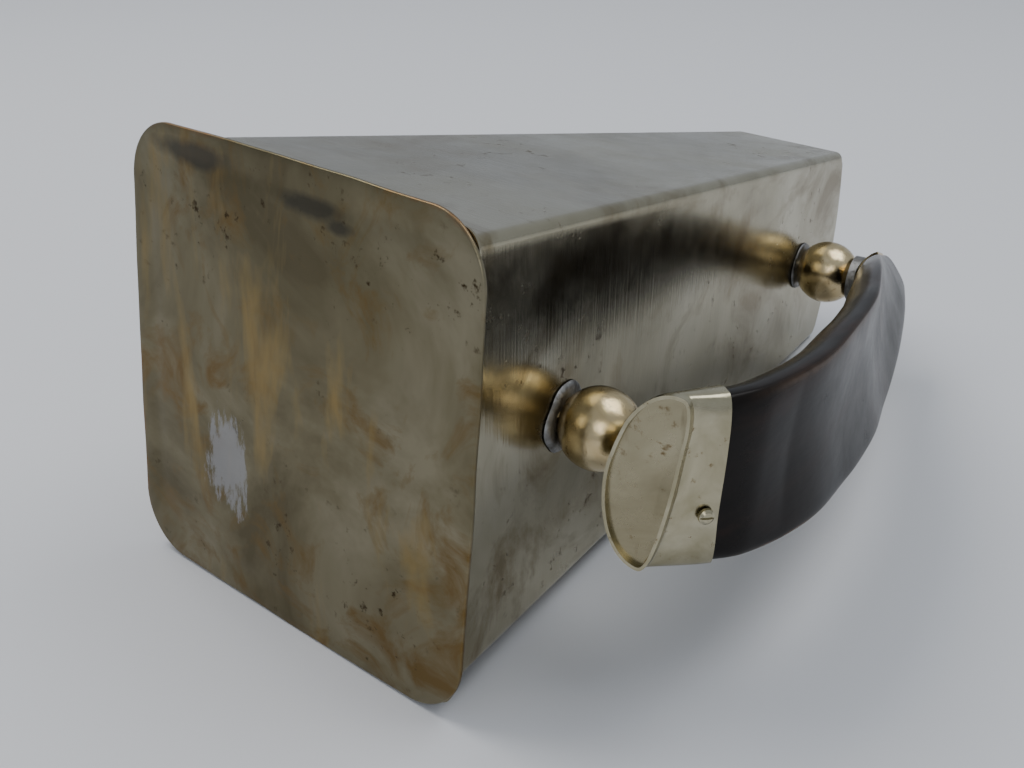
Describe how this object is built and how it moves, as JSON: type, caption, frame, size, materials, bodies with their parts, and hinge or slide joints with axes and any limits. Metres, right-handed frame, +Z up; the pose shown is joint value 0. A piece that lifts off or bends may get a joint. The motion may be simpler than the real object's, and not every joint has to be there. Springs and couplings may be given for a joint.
{
  "type": "charcoal hod",
  "caption": "Tapered square sheet-metal charcoal hod with a flanged base plate and a bowed horn side grip on two ball posts, lying on its side.",
  "frame": {"origin": "bottom centre of the bounding box, on the surface that the hod lies on", "axes": "+Z up as the hod lies on its flank; +Y from the base plate towards the open mouth, level with the table; +X towards the side that carries the grip. The vessel's own axis leans 6.04 degrees below +Y."},
  "size_m": [0.2016, 0.3164, 0.1503],
  "materials": {
    "plate_skin": "worn nickel plate over brass, mottled",
    "vessel_skin": "worn nickel plate over brass, half mirror",
    "solder": "dull grey soft solder",
    "ball_brass": "polished and pitted",
    "cap_metal": "pale plated brass, dented",
    "horn": "black horn, semi-gloss",
    "fixings": "plain metal"
  },
  "bodies": {
    "root": {"base_plate": "plate_skin", "body_wrap": "vessel_skin", "foot_solder": "solder", "seam_strip": "vessel_skin", "grip": "horn", "lower_cap_band": "cap_metal", "lower_cap_end": "cap_metal", "lower_cap_screw": "cap_metal", "upper_saddle": "cap_metal", "lower_post_solder": "solder", "lower_ball_post": "ball_brass", "lower_cap_solder": "solder", "lower_stud": "fixings", "lower_washer": "fixings", "lower_nut": "fixings", "upper_post_solder": "solder", "upper_ball_post": "ball_brass", "upper_cap_solder": "solder", "upper_stud": "fixings", "upper_washer": "fixings", "upper_nut": "fixings"}
  },
  "joints": []
}
